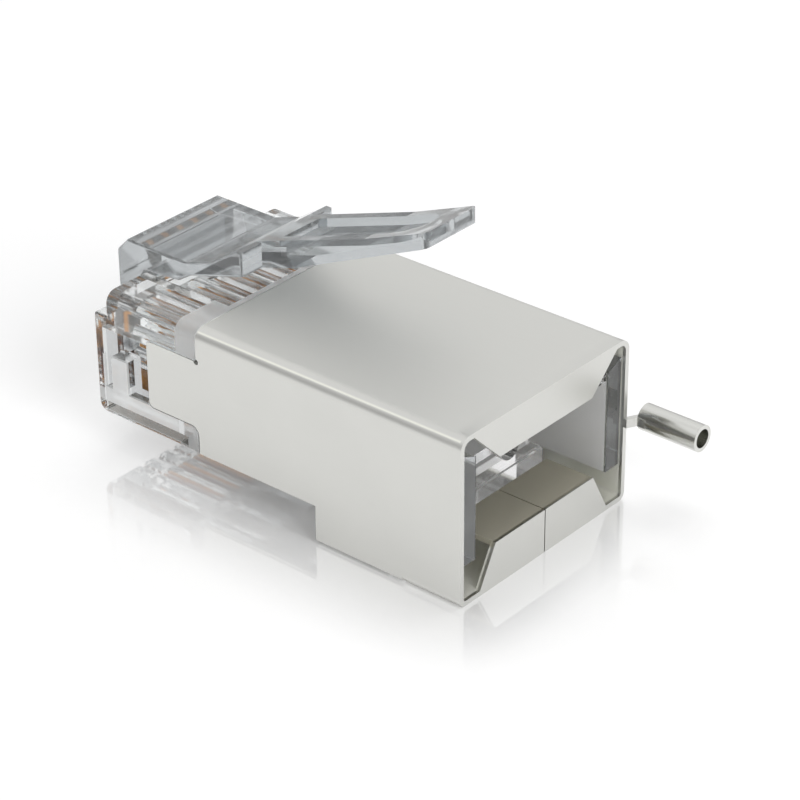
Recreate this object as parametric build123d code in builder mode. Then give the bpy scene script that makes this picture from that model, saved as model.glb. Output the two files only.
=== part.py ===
"""Shielded eight-way modular plug, seen with its latch up.

Millimetres. The origin is on the plug's centre line at the front of the latch
root, half way up the section that enters the jack. +Y is the way the plug goes
in, +Z is the latch side and the contacts face -Z.
"""

import os

from build123d import *

os.makedirs("parts", exist_ok=True)

# Section that enters the jack
plug_width = 11.70
plug_height = 6.37
long_edge_radius = 0.62

# Lengths, measured back from the front of the latch root
root_reach = 1.10
ledge_length = 0.80
ledge_drop = 1.25
shield_setback = 7.51
shield_length = 15.14
nose_corner_radius = 0.50
mould_round = 0.12

# Folded metal shield
sheet = 0.25
body_clearance = 0.05
box_length = 8.175
box_drop = 1.94
strip_length = 3.20
strip_bend = 0.40
skirt_lift = 0.19
tongue_length = 3.10
tongue_top = 1.55
tongue_base = -1.82
tongue_corner = 0.30
relief_radius = 0.14
root_fillet = 0.45
seam = 0.06
top_flap_height = 1.95
top_flap_width = 10.40
top_flap_edge = 6.40
base_flap_height = 2.20
base_flap_width = 9.25
base_flap_edge = 6.90
shelf_length = 2.60

# Ground tube rolled from the shield's own sheet
tube_radius = 0.64
tube_bore_radius = 0.45
tube_length = 3.10
tube_lead = 0.40
tube_offset = 0.85
tube_height = -1.08
neck_width = 0.44
neck_straight = 0.10
neck_overlap = 0.05

# Cable sleeve at the rear of the housing
sleeve_wall = 0.95
sleeve_shoulder = 2.20
sleeve_top = 1.82
roof_thickness = 0.48
sleeve_base = -3.26
entry_setback = 0.19
foot_gap = 1.95
foot_top = -3.00
foot_step = 1.00
foot_step_depth = 0.12
notch_radius = 0.65
notch_offset = 3.30
notch_length = 1.20
cavity_depth = 9.55
cavity_floor = -2.40

# Contacts and the wire channels over them
way_count = 8
way_pitch = 1.016
blade_thickness = 0.32
blade_clearance = 0.02
blade_setback = 0.90
blade_length = 4.20
blade_recess = 0.45
blade_corner = 0.48
tine_width = 0.55
tine_count = 3
channel_radius = 0.54
channel_level = -0.62
row_rise = 1.16
channel_end = 1.20
funnel_radius = 0.80
funnel_depth = 0.70
groove_width = 0.60
groove_overrun = 0.35

# Relief in the sides of the nose
side_depth = 0.90
post_width = 1.00
post_setback = 0.45
post_top = -0.10
front_land = 0.50
pocket_top = 1.30
rail_top = -1.80
rail_base = -2.55
slot_height = 0.50
slot_depth = 0.80
slot_length = 5.20
window_gap = 0.05

# Latch, as heights above the centre line and lengths behind its own front
latch_width = 6.10
tail_width = 3.45
latch_wall = 0.95
latch_chamfer = 0.62
arm_top = 4.36
arm_base = 3.05
rise_start = 4.30
ramp_start = 5.90
ramp_level = 4.88
ramp_end = 7.55
shoulder_at = 7.85
shoulder_top = 5.95
shoulder_base = 4.74
thin_start = 3.80
thin_end = 4.55
thin_rise = 0.48
thin_thickness = 1.10
tail_length = 17.40
tail_bend_at = 13.90
tail_bend_top = 8.08
tail_top = 9.47
tail_end_thickness = 0.76
tail_fair_length = 1.80
tail_fair_rise = 0.54
tail_corner = 0.30
thumb_width = 2.30
thumb_depth = 0.42
thumb_start = 8.70
thumb_end = 16.35

# Living hinge at the foot of the latch
hinge_radius = 0.46
hinge_clearance = 0.04
well_clearance = 0.20
well_length = 3.90
well_floor = 2.15
well_ramp = 1.35
foot_relief = 0.06
root_depth = 3.00

# How close an edge lies to the place it is picked by
near = 0.01

# Worked out from the sizes above
half_width = plug_width / 2
top = plug_height / 2
base = -plug_height / 2
nose_y = -root_reach
ledge_y = nose_y - ledge_length
ledge_z = top - ledge_drop
shield_front = -shield_setback
shield_rear = shield_front - shield_length
collar_rear = shield_front + body_clearance
box_front = shield_rear + box_length
box_base = base - box_drop
skirt_base = box_base + skirt_lift
strip_front = shield_rear + strip_length
body_inset = sheet + body_clearance
body_rear = box_front + body_clearance
shelf_top = box_base + base_flap_height
shelf_front = shield_rear + shelf_length
sleeve_rear = shield_rear + entry_setback
sleeve_half = half_width - body_inset
cavity_half = sleeve_half - sleeve_wall
cavity_top = sleeve_top - roof_thickness
cavity_front = sleeve_rear + cavity_depth
foot_rear = shelf_front + foot_gap
foot_base = box_base + body_inset
blade_front = nose_y - blade_setback
blade_rear = blade_front - blade_length
blade_edge = base + blade_recess
hinge_y = -hinge_radius
hinge_z = ledge_z
tube_x = half_width + tube_offset
tube_front = shield_rear - tube_lead


def across(y):
    """Plane across the plug at a station along it, facing the cable."""
    return Plane.XZ.offset(-y)


def lengthwise(x):
    """Plane along the plug at a distance from its centre, y across and z up."""
    return Plane.YZ.offset(x)


def way_x(index):
    """Centre line of a contact and its channel."""
    return (index - (way_count - 1) / 2) * way_pitch


def channel_z(index):
    """The channels lie in two staggered rows."""
    return channel_level + (row_rise if index % 2 else 0)


def block(x0, x1, y0, y1, z0, z1, mode=Mode.ADD):
    """Box between two corners."""
    with Locations(((x0 + x1) / 2, (y0 + y1) / 2, (z0 + z1) / 2)):
        Box(abs(x1 - x0), abs(y1 - y0), abs(z1 - z0), mode=mode)


def tine_points(root, tip):
    """Saw-tooth outline of the tines along the top of a blade, front to back."""
    spacing = blade_length / tine_count
    points = []
    for tine in range(tine_count):
        middle = blade_front - (tine + 0.5) * spacing
        points += [
            (middle + tine_width / 2, root), (middle, tip), (middle - tine_width / 2, root),
        ]
    return points


def tongue_outline(sketch, gap=0.0):
    """Side tongue with its rounded root, or the pocket for it with a gap."""
    front = shield_front + tongue_length + gap
    root = shield_front + gap
    Polygon(
        (root - root_fillet, tongue_top + gap),
        (root - root_fillet, tongue_base - 2 * root_fillet),
        (root, tongue_base - 2 * root_fillet),
        (root, tongue_base - gap),
        (front, tongue_base - gap),
        (front, tongue_top + gap),
        align=None,
    )
    fillet(sketch.vertices().group_by(Axis.X)[-1], tongue_corner)
    inner_corner = sketch.vertices().filter_by(
        lambda v: abs(v.X - root) < near and abs(v.Y - tongue_base + gap) < near
    )
    fillet(inner_corner, root_fillet - gap)


# Clear housing
with BuildPart() as plug_body:
    # Full section from the ledge back to the edge of the shield
    with BuildSketch(across(ledge_y)) as section:
        with Locations((0, (top + base) / 2)):
            Rectangle(plug_width, top - base)
        fillet(section.vertices().group_by(Axis.Y)[-1], long_edge_radius)
    extrude(amount=ledge_y - collar_rear)

    # Lower front of the nose, with the ledge on top
    block(-half_width, half_width, ledge_y, nose_y, base, ledge_z)
    nose_edges = plug_body.edges().filter_by(Axis.X).filter_by(
        lambda e: abs(e.center().Y - nose_y) < near and e.center().Z < base + near
    )
    fillet(nose_edges, nose_corner_radius)
    ledge_edges = plug_body.edges().filter_by(
        lambda e: e.center().Y > ledge_y - near and e.center().Z > base + nose_corner_radius
        and (e.center().Y > ledge_y + near or e.center().Z > ledge_z + near)
    )
    fillet(ledge_edges, mould_round)

    # Boss that carries the foot of the latch
    block(-latch_width / 2, latch_width / 2, nose_y, 0, ledge_z - root_depth, ledge_z)

    # Block that fills the front of the shield
    with BuildSketch(across(collar_rear)) as core:
        with Locations((0, (top - body_inset + base) / 2)):
            Rectangle(plug_width - 2 * body_inset, top - body_inset - base)
        fillet(core.vertices().group_by(Axis.Y)[-1], long_edge_radius)
    extrude(amount=collar_rear - body_rear)

    # Sleeve round the cable, its side walls thick and sloped along the top
    with BuildSketch(across(sleeve_rear)):
        Polygon(
            (-sleeve_half, sleeve_base), (sleeve_half, sleeve_base),
            (sleeve_half, sleeve_shoulder), (cavity_half, sleeve_top),
            (-cavity_half, sleeve_top), (-sleeve_half, sleeve_shoulder),
            align=None,
        )
    extrude(amount=sleeve_rear - body_rear)
    block(
        -cavity_half, cavity_half, sleeve_rear, body_rear,
        sleeve_base, cavity_top, mode=Mode.SUBTRACT,
    )
    block(
        -cavity_half, cavity_half, sleeve_rear, shield_rear + body_inset,
        cavity_top, sleeve_top, mode=Mode.SUBTRACT,
    )

    # Stepped foot that stands in the deep part of the shield, in front of the metal shelf
    block(-sleeve_half, sleeve_half, foot_rear, body_rear, foot_base, foot_top)
    block(
        -sleeve_half, sleeve_half, foot_rear - foot_step_depth, foot_rear,
        foot_base, foot_top - foot_step,
    )
    for side in (-1, 1):
        with Locations(
            Plane(origin=(side * notch_offset, foot_rear, foot_top), z_dir=(0, 1, 0))
        ):
            Cylinder(
                notch_radius, notch_length,
                align=(Align.CENTER, Align.CENTER, Align.MIN), mode=Mode.SUBTRACT,
            )
    block(
        -cavity_half, cavity_half, body_rear, cavity_front,
        cavity_floor, cavity_top, mode=Mode.SUBTRACT,
    )

    # Wire channels, staggered in two rows and flared where the wires go in
    for index in range(way_count):
        with Locations(
            Plane(origin=(way_x(index), cavity_front, channel_z(index)), z_dir=(0, 1, 0))
        ):
            Cylinder(
                channel_radius, nose_y - channel_end - cavity_front,
                align=(Align.CENTER, Align.CENTER, Align.MIN), mode=Mode.SUBTRACT,
            )
            Cone(
                funnel_radius, channel_radius, funnel_depth,
                align=(Align.CENTER, Align.CENTER, Align.MIN), mode=Mode.SUBTRACT,
            )

    # A slot for each blade, and the open groove that guides the jack's wire to it
    slot_half = blade_thickness / 2 + blade_clearance
    for index in range(way_count):
        x = way_x(index)
        block(
            x - slot_half, x + slot_half,
            blade_rear - blade_clearance, blade_front + blade_clearance,
            base, channel_z(index), mode=Mode.SUBTRACT,
        )
        block(
            x - groove_width / 2, x + groove_width / 2,
            blade_rear - groove_overrun, nose_y, base, blade_edge, mode=Mode.SUBTRACT,
        )

    # Relief in each side: a pocket round an upright post, over a long slot
    for side in (-1, 1):
        face = side * half_width
        floor = side * (half_width - side_depth)
        pocket_front = nose_y - front_land
        pocket_rear = shield_front + tongue_length + window_gap
        post_front = pocket_front - post_setback
        block(
            floor, face, pocket_rear, pocket_front, rail_top, pocket_top,
            mode=Mode.SUBTRACT,
        )
        block(floor, face, post_front - post_width, post_front, rail_top, post_top)
        block(
            side * (half_width - slot_depth), face,
            nose_y - front_land - slot_length, nose_y - front_land,
            rail_base - slot_height, rail_base, mode=Mode.SUBTRACT,
        )
        with BuildSketch(lengthwise(face)) as pocket:
            tongue_outline(pocket, body_clearance)
        extrude(amount=-side * body_inset, mode=Mode.SUBTRACT)

    # Well under the latch, and the hollow that its foot rolls in
    with BuildSketch(lengthwise(-latch_width / 2 - well_clearance)):
        well_rear = ledge_y - well_length
        Polygon(
            (ledge_y, well_floor), (ledge_y, top),
            (well_rear - well_ramp, top), (well_rear, well_floor),
            align=None,
        )
    extrude(amount=latch_width + 2 * well_clearance, mode=Mode.SUBTRACT)
    with BuildSketch(lengthwise(-half_width)):
        with Locations((hinge_y, hinge_z)):
            Circle(hinge_radius + hinge_clearance)
    extrude(amount=plug_width, mode=Mode.SUBTRACT)

plug_body.part.label = "plug_body"
export_step(plug_body.part, "parts/plug_body.step")

# Hollow for the thumb, its floor a fixed depth under the top of the tail
with BuildPart() as thumb_hollow:
    tail_slope = (tail_bend_top - shoulder_top) / (tail_bend_at - ramp_end)
    end_slope = (tail_top - tail_bend_top) / (tail_length - tail_bend_at)
    start_z = tail_bend_top - (tail_bend_at - thumb_start) * tail_slope - thumb_depth
    end_z = tail_bend_top + (thumb_end - tail_bend_at) * end_slope - thumb_depth
    with BuildSketch(lengthwise(-thumb_width / 2)):
        with BuildLine():
            Polyline(
                (-thumb_start, start_z),
                (-tail_bend_at, tail_bend_top - thumb_depth),
                (-thumb_end, end_z),
                (-thumb_end, end_z + tail_width),
                (-thumb_start, end_z + tail_width),
                close=True,
            )
        make_face()
    extrude(amount=thumb_width)
    with BuildSketch(Plane.XY):
        with Locations((0, -thumb_end + thumb_width / 2)):
            Circle(thumb_width / 2)
        with Locations((0, -(thumb_start + thumb_end - thumb_width / 2) / 2)):
            Rectangle(thumb_width, thumb_end - thumb_start - thumb_width / 2)
    extrude(amount=end_z + tail_width, mode=Mode.INTERSECT)

# Sprung latch on its living hinge
with BuildPart() as latch:
    half = latch_width / 2
    with BuildSketch(lengthwise(-half)) as side_view:
        with BuildLine():
            Polyline(
                (0, hinge_z),
                (0, arm_top - latch_chamfer),
                (-latch_chamfer, arm_top),
                (-rise_start, arm_top),
                (-ramp_start, ramp_level),
                (-ramp_end, shoulder_top),
                (-shoulder_at, shoulder_top),
                (-shoulder_at, shoulder_base),
                (-thin_end, arm_top + thin_rise - thin_thickness),
                (-thin_start, arm_top - thin_thickness),
                (-latch_wall - latch_chamfer, arm_base),
                (foot_relief - 2 * hinge_radius, hinge_z),
                close=True,
            )
        make_face()
        with Locations((hinge_y, hinge_z)):
            Circle(hinge_radius)
    extrude(amount=latch_width)

    # Tail for the thumb, narrower than the shoulders
    with BuildSketch(lengthwise(-tail_width / 2)) as tail_view:
        with BuildLine():
            Polyline(
                (-ramp_end, shoulder_top),
                (-tail_bend_at, tail_bend_top),
                (-tail_length, tail_top),
                (-tail_length, tail_top - tail_end_thickness),
                (-shoulder_at - tail_fair_length, shoulder_base + tail_fair_rise),
                (-shoulder_at, shoulder_base),
                (-ramp_end, shoulder_base),
                close=True,
            )
        make_face()
    extrude(amount=tail_width)

    # Thumb hollow let into the tail
    add(thumb_hollow.part, mode=Mode.SUBTRACT)

    # Softened outline of the tail
    upright = latch.edges().filter_by(
        lambda e: abs(e.center().Y + tail_length) < near
        and abs(abs(e.center().X) - tail_width / 2) < near
    )
    fillet(upright, tail_corner)

    # Mould rounds across the latch, then along its two sides
    across_edges = latch.edges().filter_by(Axis.X).filter_by(
        lambda e: e.center().Z > arm_top - near and e.length > latch_width - near
    )
    fillet(across_edges, mould_round)
    side_edges = latch.edges().filter_by(
        lambda e: abs(abs(e.center().X) - half) < near and e.center().Z > arm_base
    )
    fillet(side_edges, mould_round)

latch.part.label = "latch"
export_step(latch.part, "parts/latch.step")

# Shield folded from one sheet, with its flaps, shelf and ground tube
with BuildPart() as shield:
    # Channel over the housing, with stepped lower edges, then the closed strip
    lengths = (
        (shield_front, box_front, base),
        (box_front, strip_front, skirt_base),
        (strip_front, shield_rear, box_base),
    )
    for front, rear, edge in lengths:
        closed = edge == box_base
        with BuildSketch(across(front)) as outer:
            with Locations((0, (top + edge) / 2)):
                Rectangle(plug_width, top - edge)
            fillet(outer.vertices().group_by(Axis.Y)[-1], long_edge_radius)
            if closed:
                fillet(outer.vertices().group_by(Axis.Y)[0], strip_bend)
            inner_top = top - sheet
            inner_base = edge + sheet if closed else edge
            with BuildSketch(mode=Mode.SUBTRACT) as inner:
                with Locations((0, (inner_top + inner_base) / 2)):
                    Rectangle(plug_width - 2 * sheet, inner_top - inner_base)
                fillet(inner.vertices().group_by(Axis.Y)[-1], long_edge_radius - sheet)
                if closed:
                    fillet(inner.vertices().group_by(Axis.Y)[0], strip_bend - sheet)
        extrude(amount=front - rear)

    # Tongue along each side of the nose, with a relief hole at its upper root
    for side in (-1, 1):
        x = -half_width if side < 0 else half_width - sheet
        with BuildSketch(lengthwise(x)) as tongue:
            tongue_outline(tongue)
        extrude(amount=sheet)
        with BuildSketch(lengthwise(x)):
            with Locations((shield_front, tongue_top)):
                Circle(relief_radius)
        extrude(amount=sheet, mode=Mode.SUBTRACT)

    # Flaps folded across the rear, the lower pair carried forward as a shelf
    with BuildSketch(across(shield_rear + sheet)):
        with BuildLine():
            Polyline(
                (-top_flap_width / 2, top),
                (top_flap_width / 2, top),
                (top_flap_edge / 2, top - top_flap_height),
                (-top_flap_edge / 2, top - top_flap_height),
                close=True,
            )
        make_face()
        with BuildLine():
            Polyline(
                (-base_flap_width / 2, box_base),
                (base_flap_width / 2, box_base),
                (base_flap_edge / 2, shelf_top),
                (-base_flap_edge / 2, shelf_top),
                close=True,
            )
        make_face()
    extrude(amount=sheet)
    block(
        -base_flap_edge / 2, base_flap_edge / 2,
        shield_rear, shelf_front, shelf_top - sheet, shelf_top,
    )
    block(
        -seam / 2, seam / 2,
        shield_rear, strip_front, box_base, shelf_top, mode=Mode.SUBTRACT,
    )

    # Ground tube on a joggled neck
    neck_x = half_width - sheet / 2
    wall_x = tube_x - tube_radius + sheet / 2
    with BuildSketch(Plane.XY.offset(tube_height - neck_width / 2)):
        with BuildLine() as neck:
            Polyline(
                (neck_x, shield_rear + sheet),
                (neck_x, shield_rear - neck_straight),
                (wall_x, tube_front + neck_overlap),
                (wall_x, tube_front - neck_width),
            )
        trace(neck.line, line_width=sheet)
    extrude(amount=neck_width)
    with BuildSketch(across(tube_front)):
        with Locations((tube_x, tube_height)):
            Circle(tube_radius)
    extrude(amount=tube_length)
    with BuildSketch(across(tube_front)):
        with Locations((tube_x, tube_height)):
            Circle(tube_bore_radius)
    extrude(amount=tube_length, mode=Mode.SUBTRACT)

shield.part.label = "shield"
export_step(shield.part, "parts/shield.step")

# Gold-plated blades, each with tines that pierce the wire above it
for index in range(way_count):
    tine_tip = channel_z(index) - blade_clearance
    tine_root = channel_z(index) - channel_radius
    with BuildPart() as contact:
        with BuildSketch(lengthwise(way_x(index) - blade_thickness / 2)) as blade:
            with BuildLine():
                Polyline(
                    (blade_front, blade_edge),
                    (blade_front, tine_root),
                    *tine_points(tine_root, tine_tip),
                    (blade_rear, tine_root),
                    (blade_rear, blade_edge),
                    close=True,
                )
            make_face()
            fillet(blade.vertices().group_by(Axis.Y)[0], blade_corner)
        extrude(amount=blade_thickness)
    contact.part.label = f"contact_{index + 1}"
    export_step(contact.part, f"parts/contact_{index + 1}.step")
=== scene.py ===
import math

import bpy
from mathutils import Matrix, Vector


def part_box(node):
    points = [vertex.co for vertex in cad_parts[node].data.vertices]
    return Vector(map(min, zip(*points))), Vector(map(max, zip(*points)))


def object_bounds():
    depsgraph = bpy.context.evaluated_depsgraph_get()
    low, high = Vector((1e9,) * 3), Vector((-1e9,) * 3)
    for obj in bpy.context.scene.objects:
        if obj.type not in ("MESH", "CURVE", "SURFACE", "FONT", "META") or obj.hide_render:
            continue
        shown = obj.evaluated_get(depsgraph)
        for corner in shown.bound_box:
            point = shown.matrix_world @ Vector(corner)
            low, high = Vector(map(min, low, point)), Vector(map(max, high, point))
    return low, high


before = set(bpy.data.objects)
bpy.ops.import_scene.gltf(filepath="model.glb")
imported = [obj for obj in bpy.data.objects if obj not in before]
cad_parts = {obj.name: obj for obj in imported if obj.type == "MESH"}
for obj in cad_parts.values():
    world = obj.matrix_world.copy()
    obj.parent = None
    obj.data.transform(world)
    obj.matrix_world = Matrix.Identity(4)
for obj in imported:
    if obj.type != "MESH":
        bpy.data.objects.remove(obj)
cad_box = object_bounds()

# Metres, as the frame is
MM = 0.001

# Camera, as fitted to the edges of the plug in the photograph
VIEW_AZIMUTH = math.radians(-49.509)
VIEW_ELEVATION = math.radians(29.781)
VIEW_ROLL = math.radians(-0.45)
VIEW_TARGET = Vector((1.081, -13.476, -1.262)) * MM
VIEW_DISTANCE = 129.077 * MM
SENSOR_WIDTH = 36.0
PHOTO_WIDTH_PIXELS = 800
FOCAL_LENGTH_PIXELS = 2854.67
NEAR_CLIP = 10 * MM
FAR_CLIP = 10.0

# Clear polycarbonate: slow flow marks of the moulding, and the lowest and highest roughness
PC_IOR = 1.586
FLOW_MARK = 2.2 * MM
FLOW_RELIEF = 0.05 * MM
FLOW_STRENGTH = 0.04
MOULD_POLISH = (0.04, 0.09)

# Nickel plate: rolling lines along the plug, drawn coarser than the real ones so that they show,
# slow clouds in the plating, and the lowest and highest roughness
ROLLING_LINE = 0.12 * MM
ROLLING_STRETCH = 0.08
ROLLING_RELIEF = 0.004 * MM
ROLLING_STRENGTH = 0.05
PLATING_CLOUD = 3.0 * MM
NICKEL_POLISH = (0.3, 0.38)

# Gold plate: grain of the stamped strip, drawn coarser than the real one so that it shows,
# and the lowest and highest roughness
GOLD_GRAIN = 0.15 * MM
GOLD_POLISH = (0.25, 0.4)

# How softly a finish, painted light and painted shade end at the edge of their place
FINISH_AND_PAINTED_LIGHT_BLEND = 0.05 * MM
TOP_BLEND = 0.4 * MM

# Places on the housing: lowest and highest corner in millimetres, with both sides taken as +X
COLLAR = ((-1.0, -7.6, -3.3), (6.0, -6.24, 3.3))
POST_AND_RAIL = ((5.7, -6.6, -2.57), (5.9, -1.5, -0.05))
RAIL_FRONT = ((5.7, -1.6, -2.57), (5.9, -0.75, -1.85))
NOSE_SLOT = ((4.95, -7.2, -3.1), (5.8, -1.2, -2.5))
NOSE_POCKET = ((4.85, -6.6, -1.85), (5.65, -1.2, 1.35))
WIRE_CHANNELS = ((-1.0, -13.1, -1.3), (4.3, -2.2, 1.2))
SLEEVE_WALL = ((4.4, -22.4, -3.4), (4.75, -12.9, 1.4))
SLEEVE = ((-1.0, -22.4, -5.2), (6.0, -7.6, 3.1))
SLEEVE_END = ((-1.0, -22.6, -5.2), (6.0, -22.38, 3.1))

# Places on the shield, given the same way
SHIELD_TOP = ((-6.0, -22.3, 2.6), (5.6, -7.0, 9.0), TOP_BLEND)
SHIELD_INSIDE = ((-1.0, -22.52, -5.0), (5.72, -7.4, 3.06))
SHELF = ((-1.0, -22.62, -3.25), (3.6, -19.7, -2.85))
ROLLED_TUBE = ((5.95, -26.2, -1.8), (7.4, -22.9, -0.4))

# Place, tint or None, added roughness, and the share of the light that it scatters back; the tints are
# painted light and painted shade
HOUSING_FINISHES_AND_PAINTED_LIGHT = (
    (COLLAR, None, 0.3, 0.32),
    (POST_AND_RAIL, None, 0.15, 0.8),
    (RAIL_FRONT, None, 0.15, 0.5),
    (WIRE_CHANNELS, None, 0.14, 0.06),
    (SLEEVE_WALL, None, 0.08, 0.75),
    # painted light: the housing inside the shield is tinted whiter to brighten the shaded inside of the
    # cable opening
    (SLEEVE, "#ffffff", 0.0, 0.0),
    # painted shade: the rear end faces of the sleeve are tinted darker grey
    (SLEEVE_END, "#ccd0d4", 0.0, 0.0),
    # painted shade: the slot under the side rail is tinted dark grey
    (NOSE_SLOT, "#84817c", 0.0, 0.0),
    # painted shade: the recessed pocket at the nose is tinted darker
    (NOSE_POCKET, "#c8cacc", 0.0, 0.0),
)

# Place, tint or None, added roughness, and the share of its metallic shine that it loses; the tints are
# painted light and painted shade
SHIELD_FINISHES_AND_PAINTED_LIGHT = (
    # the tint is painted light: the top is made paler than the plate to brighten its reflection under the
    # latch
    (SHIELD_TOP, "#dededa", 0.26, 0.35),
    # the tint is painted light: the inner faces are made nearly white to brighten the shade inside the
    # shield
    (SHIELD_INSIDE, "#fcfcf4", 0.35, 0.4),
    # painted shade: the shelf inside the cable opening is tinted dark and warm
    (SHELF, "#c6c2b2", 0.0, 0.0),
    (ROLLED_TUBE, None, -0.16, 0.0),
)

# Floor: its polish shows near the plug and fades away from it, and a little glow keeps it white
FLOOR_SIZE = 3.0
FLOOR_GLOW = 0.13
LACQUER_ROUGHNESS = 0.04
POLISH_NEAR = 0.38
POLISH_FAR = 0.02
POLISH_REACH = 5.5 * MM

# Room: its level at each height above the horizon, as the sine of the angle up
ROOM_LEVELS = ((0.0, 1.0), (0.4, 0.97), (0.85, 1.0), (1.0, 0.6))

# Darker walls, across the photograph and behind the nose: the direction, the cosines of the angle
# to it between which the room changes, and the level before and after
SHADED_WALL = ((0.649, -0.760, 0.0), -0.1, 0.5, 1.0, 0.75)
DARK_WALL = ((-0.707, 0.707, 0.0), 0.75, 0.95, 1.0, 0.45)

# Dark card far behind the plug, low at the horizon: where it stands, given as the walls are,
# its top edge and the height below which it is full, as sines of the angle up
CARD_PLACE = ((0.82, 0.572, 0.0), 0.5, 0.75, 0.0, 1.0)
CARD_TOP = 0.16
CARD_FULL = 0.096
CARD_DARKNESS = 0.85

# Soft boxes: name, place in metres, side of the square in metres, power in watts
LAMPS = (
    ("key_box", (0.1, 0.0, 0.42), 0.3, 0.62),
    ("fill_box", (-0.1, -0.4, 0.22), 0.2, 0.75),
)


def linear(code):
    """Turns a hex sRGB colour into linear RGBA."""
    channels = []
    for start in (1, 3, 5):
        value = int(code[start:start + 2], 16) / 255
        channels.append(value / 12.92 if value <= 0.04045 else ((value + 0.055) / 1.055) ** 2.4)
    return (*channels, 1.0)


def node(tree, kind, inputs=None, **settings):
    """Adds a node to a tree, with its settings, and its inputs as values or as other nodes' outputs."""
    made = tree.nodes.new(kind)
    for name, value in settings.items():
        setattr(made, name, value)
    for name, value in (inputs or {}).items():
        if isinstance(value, bpy.types.NodeSocket):
            tree.links.new(value, made.inputs[name])
        else:
            made.inputs[name].default_value = value
    return made


def new_tree(owner):
    """Empties the node tree of a material or world and returns it."""
    owner.use_nodes = True
    owner.node_tree.nodes.clear()
    return owner.node_tree


def blend_colours(tree, share, first, second):
    """Colour between two, by the second one's share."""
    return node(tree, "ShaderNodeMix", {
        "Factor": share, "A": first, "B": second,
    }, data_type="RGBA").outputs["Result"]


def add_scaled(tree, value, scale, start):
    """A value times a scale, on top of a starting value."""
    return node(tree, "ShaderNodeMath", {
        0: value, 1: scale, 2: start,
    }, operation="MULTIPLY_ADD").outputs["Value"]


def inside_box(tree, place, low, high, blend=FINISH_AND_PAINTED_LIGHT_BLEND):
    """Mask that is 1 within a box in millimetres, both sides of the plug taken as +X."""
    apart = node(tree, "ShaderNodeSeparateXYZ", {"Vector": place}).outputs
    side = node(tree, "ShaderNodeMath", {0: apart["X"]}, operation="ABSOLUTE")
    folded = node(tree, "ShaderNodeCombineXYZ", {
        "X": side.outputs["Value"], "Y": apart["Y"], "Z": apart["Z"],
    })
    low, high = Vector(low) * MM, Vector(high) * MM
    offset = node(tree, "ShaderNodeVectorMath", {
        0: folded.outputs["Vector"], 1: (low + high) / 2,
    }, operation="SUBTRACT")
    reach = node(tree, "ShaderNodeVectorMath", {0: offset.outputs["Vector"]}, operation="ABSOLUTE")
    over = node(tree, "ShaderNodeVectorMath", {
        0: reach.outputs["Vector"], 1: (high - low) / 2,
    }, operation="SUBTRACT")
    parts = node(tree, "ShaderNodeSeparateXYZ", {"Vector": over.outputs["Vector"]}).outputs
    flat = node(tree, "ShaderNodeMath", {0: parts["X"], 1: parts["Y"]}, operation="MAXIMUM")
    most = node(tree, "ShaderNodeMath", {0: flat.outputs["Value"], 1: parts["Z"]}, operation="MAXIMUM")
    return node(tree, "ShaderNodeMapRange", {
        "Value": most.outputs["Value"], "From Min": 0.0, "From Max": -blend,
        "To Min": 0.0, "To Max": 1.0,
    }).outputs["Result"]


def finish_places_and_paint_light(tree, place, finishes_and_painted_light, colour, rough):
    """Applies a table of surface finish, painted light and painted shade: returns the colour, the
    roughness and the share that isn't lost.
    """
    clear = 1.0
    for box, tint, added, lost in finishes_and_painted_light:
        mask = inside_box(tree, place, *box)
        if tint:
            colour = blend_colours(tree, mask, colour, linear(tint))
        if added:
            rough = add_scaled(tree, mask, added, rough)
        if lost:
            clear = add_scaled(tree, mask, -lost, clear)
    return colour, rough, clear


# Materials
def clear_polycarbonate(name, body_colour, shadow_colour, finishes_and_painted_light=()):
    """Injection-moulded clear polycarbonate: glassy, cool grey in its depth, with slight flow marks.

    Eroded faces, such as the collar beside the shield, look softer and whiter than the polished rest,
    and painted shade makes the slot and pocket at the nose and the sleeve's rear end darker, while
    painted light makes the sleeve inside the shield whiter.
    """
    material = bpy.data.materials.new(name)
    tree = new_tree(material)
    place = node(tree, "ShaderNodeTexCoord").outputs["Object"]
    flow = node(tree, "ShaderNodeTexNoise", {"Vector": place, "Scale": 1 / FLOW_MARK, "Detail": 3.0})
    bump = node(tree, "ShaderNodeBump", {
        "Height": flow.outputs["Fac"], "Strength": FLOW_STRENGTH, "Distance": FLOW_RELIEF,
    })
    polish = node(tree, "ShaderNodeMapRange", {
        "Value": flow.outputs["Fac"], "To Min": MOULD_POLISH[0], "To Max": MOULD_POLISH[1],
    })
    colour, rough, clear = finish_places_and_paint_light(
        tree, place, finishes_and_painted_light, linear(body_colour), polish.outputs["Result"],
    )
    plastic = node(tree, "ShaderNodeBsdfPrincipled", {
        "Base Color": colour, "Transmission Weight": clear, "IOR": PC_IOR,
        "Roughness": rough, "Normal": bump.outputs["Normal"],
    })
    seen = node(tree, "ShaderNodeLightPath")
    through = node(tree, "ShaderNodeBsdfTransparent", {"Color": linear(shadow_colour)})
    mix = node(tree, "ShaderNodeMixShader", {
        0: seen.outputs["Is Shadow Ray"], 1: plastic.outputs["BSDF"], 2: through.outputs["BSDF"],
    })
    node(tree, "ShaderNodeOutputMaterial", {"Surface": mix.outputs["Shader"]})
    return material


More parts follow.
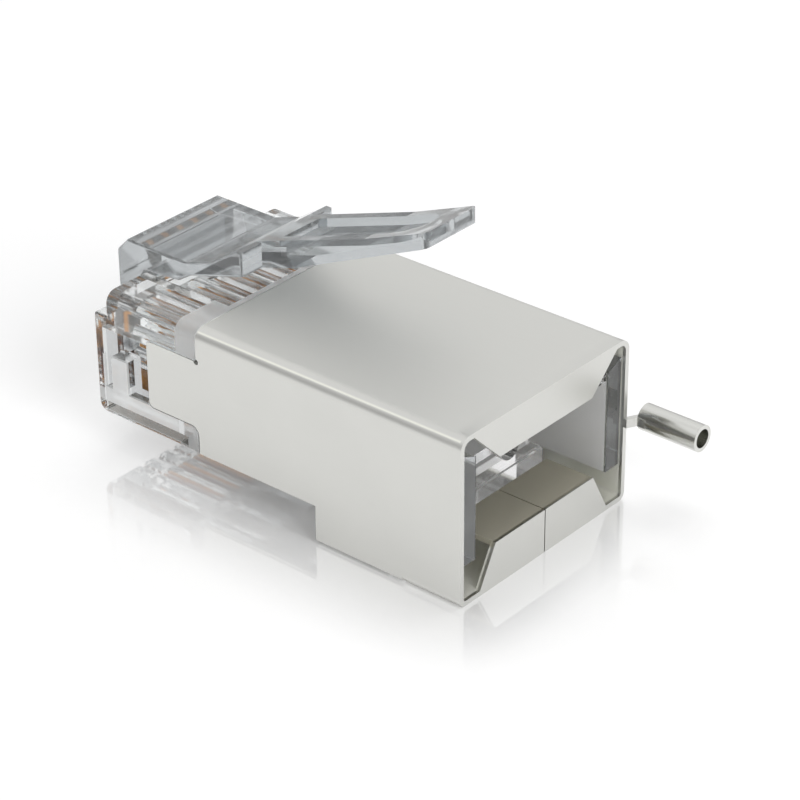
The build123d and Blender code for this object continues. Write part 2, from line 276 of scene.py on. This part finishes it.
def satin_nickel():
    """Nickel plate on rolled copper-alloy sheet: pale satin metal with faint lines along the plug.

    The top and the inner faces look duller than the sides and carry painted light that makes them paler,
    the shelf inside carries painted shade, and the rolled tube looks brighter.
    """
    material = bpy.data.materials.new("satin_nickel_plate")
    tree = new_tree(material)
    place = node(tree, "ShaderNodeTexCoord").outputs["Object"]
    along = node(tree, "ShaderNodeMapping", {"Vector": place, "Scale": (1.0, ROLLING_STRETCH, 1.0)})
    lines = node(tree, "ShaderNodeTexNoise", {
        "Vector": along.outputs["Vector"], "Scale": 1 / ROLLING_LINE, "Detail": 3.0,
    })
    cloud = node(tree, "ShaderNodeTexNoise", {"Vector": place, "Scale": 1 / PLATING_CLOUD, "Detail": 3.0})
    plate = blend_colours(tree, cloud.outputs["Fac"], linear("#d4d4d0"), linear("#dadad6"))
    polish = node(tree, "ShaderNodeMapRange", {
        "Value": lines.outputs["Fac"], "To Min": NICKEL_POLISH[0], "To Max": NICKEL_POLISH[1],
    })
    colour, rough, metallic = finish_places_and_paint_light(
        tree, place, SHIELD_FINISHES_AND_PAINTED_LIGHT, plate, polish.outputs["Result"],
    )
    bump = node(tree, "ShaderNodeBump", {
        "Height": lines.outputs["Fac"], "Strength": ROLLING_STRENGTH, "Distance": ROLLING_RELIEF,
    })
    metal = node(tree, "ShaderNodeBsdfPrincipled", {
        "Base Color": colour, "Metallic": metallic, "Roughness": rough,
        "Normal": bump.outputs["Normal"],
    })
    node(tree, "ShaderNodeOutputMaterial", {"Surface": metal.outputs["BSDF"]})
    return material


def gold_plate():
    """Gold over nickel on phosphor-bronze blades: warm and bright, with a fine uneven grain."""
    material = bpy.data.materials.new("gold_plated_bronze")
    tree = new_tree(material)
    place = node(tree, "ShaderNodeTexCoord").outputs["Object"]
    grain = node(tree, "ShaderNodeTexNoise", {"Vector": place, "Scale": 1 / GOLD_GRAIN, "Detail": 4.0})
    colour = blend_colours(tree, grain.outputs["Fac"], linear("#dc9236"), linear("#eaa858"))
    rough = node(tree, "ShaderNodeMapRange", {
        "Value": grain.outputs["Fac"], "To Min": GOLD_POLISH[0], "To Max": GOLD_POLISH[1],
    })
    metal = node(tree, "ShaderNodeBsdfPrincipled", {
        "Base Color": colour, "Metallic": 1.0, "Roughness": rough.outputs["Result"],
    })
    node(tree, "ShaderNodeOutputMaterial", {"Surface": metal.outputs["BSDF"]})
    return material


def glossy_white_floor():
    """Lacquered white table: white to the eye, with a soft reflection and the plug's shadow."""
    material = bpy.data.materials.new("lacquered_white_floor")
    tree = new_tree(material)
    seen = node(tree, "ShaderNodeLightPath")
    paint = node(tree, "ShaderNodeBsdfDiffuse", {"Color": linear("#fafafa")})
    gloss = node(tree, "ShaderNodeBsdfGlossy", {
        "Color": linear("#ffffff"), "Roughness": LACQUER_ROUGHNESS,
    })
    place = node(tree, "ShaderNodeTexCoord").outputs["Object"]
    low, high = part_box("plug_body")
    middle = (Vector(low) + Vector(high)) / 2
    half = (Vector(high) - Vector(low)) / 2
    offset = node(tree, "ShaderNodeVectorMath", {
        0: place, 1: (middle.x, middle.y, 0),
    }, operation="SUBTRACT")
    spread = node(tree, "ShaderNodeVectorMath", {0: offset.outputs["Vector"]}, operation="ABSOLUTE")
    outside = node(tree, "ShaderNodeVectorMath", {
        0: spread.outputs["Vector"], 1: (half.x, half.y, 1),
    }, operation="SUBTRACT")
    away = node(tree, "ShaderNodeVectorMath", {
        0: outside.outputs["Vector"], 1: (0, 0, 0),
    }, operation="MAXIMUM")
    reach = node(tree, "ShaderNodeVectorMath", {0: away.outputs["Vector"]}, operation="LENGTH")
    polish = node(tree, "ShaderNodeMapRange", {
        "Value": reach.outputs["Value"], "From Max": POLISH_REACH,
        "To Min": POLISH_NEAR, "To Max": POLISH_FAR,
    }, interpolation_type="SMOOTHSTEP")
    mix = node(tree, "ShaderNodeMixShader", {
        0: polish.outputs["Result"], 1: paint.outputs["BSDF"], 2: gloss.outputs["BSDF"],
    })
    direct = node(tree, "ShaderNodeMath", {
        0: seen.outputs["Is Camera Ray"], 1: seen.outputs["Is Glossy Ray"],
    }, operation="MAXIMUM")
    shown = node(tree, "ShaderNodeMath", {
        0: direct.outputs["Value"], 1: seen.outputs["Is Transmission Ray"],
    }, operation="MAXIMUM")
    level = node(tree, "ShaderNodeMath", {0: shown.outputs["Value"], 1: FLOOR_GLOW}, operation="MULTIPLY")
    glow = node(tree, "ShaderNodeEmission", {"Strength": level.outputs["Value"]})
    both = node(tree, "ShaderNodeAddShader", {0: mix.outputs["Shader"], 1: glow.outputs["Emission"]})
    node(tree, "ShaderNodeOutputMaterial", {"Surface": both.outputs["Shader"]})
    return material


def wear(piece, material):
    """Gives a piece one material."""
    piece.data.materials.clear()
    piece.data.materials.append(material)


# The latch is tinted greyer than the housing, as it looks in the photograph
plug_materials = {
    "plug_body": clear_polycarbonate("clear_moulded_housing", "#f6f8f8", "#989c9e", HOUSING_FINISHES_AND_PAINTED_LIGHT),
    "latch": clear_polycarbonate("clear_moulded_latch", "#bcc0c2", "#eceef0"),
    "shield": satin_nickel(),
}
contact_material = gold_plate()
for name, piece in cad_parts.items():
    wear(piece, plug_materials.get(name, contact_material))

# Floor
bpy.ops.object.select_all(action="DESELECT")
bpy.ops.mesh.primitive_plane_add(size=FLOOR_SIZE, location=(0, 0, cad_box[0].z))
floor = bpy.context.object
floor.name = "floor"
wear(floor, glossy_white_floor())


def smooth_change(tree, value, start, end, before, after):
    """Level that goes smoothly from before to after, while a value goes from start to end."""
    return node(tree, "ShaderNodeMapRange", {
        "Value": value, "From Min": start, "From Max": end, "To Min": before, "To Max": after,
    }, interpolation_type="SMOOTHSTEP").outputs["Result"]


def towards(tree, direction, side, *change):
    """Level that changes as a direction turns towards a side of the room."""
    turned = node(tree, "ShaderNodeVectorMath", {0: direction, 1: side}, operation="DOT_PRODUCT")
    return smooth_change(tree, turned.outputs["Value"], *change)


def product(tree, first, second):
    """Two levels multiplied."""
    return node(tree, "ShaderNodeMath", {0: first, 1: second}, operation="MULTIPLY").outputs["Value"]


def studio_world():
    """White room to the camera and an even grey to scattered light.

    What the plug reflects and lets through is a white room with darker walls and a low dark card.
    """
    world = bpy.data.worlds.new("studio")
    bpy.context.scene.world = world
    tree = new_tree(world)
    seen = node(tree, "ShaderNodeLightPath")
    direction = node(tree, "ShaderNodeTexCoord").outputs["Generated"]
    height = node(tree, "ShaderNodeSeparateXYZ", {"Vector": direction}).outputs["Z"]
    levels = node(tree, "ShaderNodeValToRGB", {"Fac": height})
    stops = levels.color_ramp.elements
    while len(stops) < len(ROOM_LEVELS):
        stops.new(0.5)
    for stop, (sine, grey) in zip(stops, ROOM_LEVELS):
        stop.position = sine
        stop.color = (grey, grey, grey, 1)
    shade = towards(tree, direction, *SHADED_WALL)
    gloom = towards(tree, direction, *DARK_WALL)
    walls = product(tree, shade, gloom)
    beside = towards(tree, direction, *CARD_PLACE)
    below = smooth_change(tree, height, CARD_TOP, CARD_FULL, 0.0, 1.0)
    card = product(tree, beside, below)
    uncovered = add_scaled(tree, card, -CARD_DARKNESS, 1.0)
    room = node(tree, "ShaderNodeVectorMath", {
        0: levels.outputs["Color"], "Scale": product(tree, walls, uncovered),
    }, operation="SCALE").outputs["Vector"]
    scattered = node(tree, "ShaderNodeMath", {
        0: seen.outputs["Diffuse Depth"], 1: 0.5,
    }, operation="GREATER_THAN").outputs["Value"]
    lighting = blend_colours(tree, scattered, room, linear("#bcbcbc"))
    sky = blend_colours(tree, seen.outputs["Is Camera Ray"], lighting, linear("#ffffff"))
    light = node(tree, "ShaderNodeBackground", {"Color": sky, "Strength": 1.0})
    node(tree, "ShaderNodeOutputWorld", {"Surface": light.outputs["Background"]})


def soft_lamp(name, place, size, power):
    """Square soft box that points at the plug and shows in no reflection."""
    data = bpy.data.lights.new(name, "AREA")
    data.size = size
    data.energy = power
    lamp = bpy.data.objects.new(name, data)
    bpy.context.scene.collection.objects.link(lamp)
    lamp.location = place
    lamp.rotation_mode = "QUATERNION"
    lamp.rotation_quaternion = (VIEW_TARGET - Vector(place)).to_track_quat("-Z", "Y")
    lamp.visible_glossy = False
    lamp.visible_transmission = False


def photo_camera():
    """Camera at the photograph's viewing angle."""
    data = bpy.data.cameras.new("photo_camera")
    data.sensor_width = SENSOR_WIDTH
    data.lens = FOCAL_LENGTH_PIXELS * SENSOR_WIDTH / PHOTO_WIDTH_PIXELS
    data.clip_start = NEAR_CLIP
    data.clip_end = FAR_CLIP
    camera = bpy.data.objects.new("photo_camera", data)
    bpy.context.scene.collection.objects.link(camera)
    bpy.context.scene.camera = camera
    level = math.cos(VIEW_ELEVATION)
    back = Vector((
        math.sin(VIEW_AZIMUTH) * level, -math.cos(VIEW_AZIMUTH) * level, math.sin(VIEW_ELEVATION),
    ))
    camera.location = VIEW_TARGET + back * VIEW_DISTANCE
    camera.rotation_mode = "QUATERNION"
    aim = (-back).to_track_quat("-Z", "Y").to_matrix().to_4x4()
    camera.rotation_quaternion = (aim @ Matrix.Rotation(VIEW_ROLL, 4, "Z")).to_quaternion()


studio_world()
for lamp_settings in LAMPS:
    soft_lamp(*lamp_settings)
photo_camera()
bpy.context.scene.view_settings.view_transform = "Standard"

# Light bounces many times between the clear walls and inside the shield
bpy.context.scene.cycles.max_bounces = 32
bpy.context.scene.cycles.glossy_bounces = 16
bpy.context.scene.cycles.transmission_bounces = 24
bpy.context.scene.cycles.transparent_max_bounces = 24
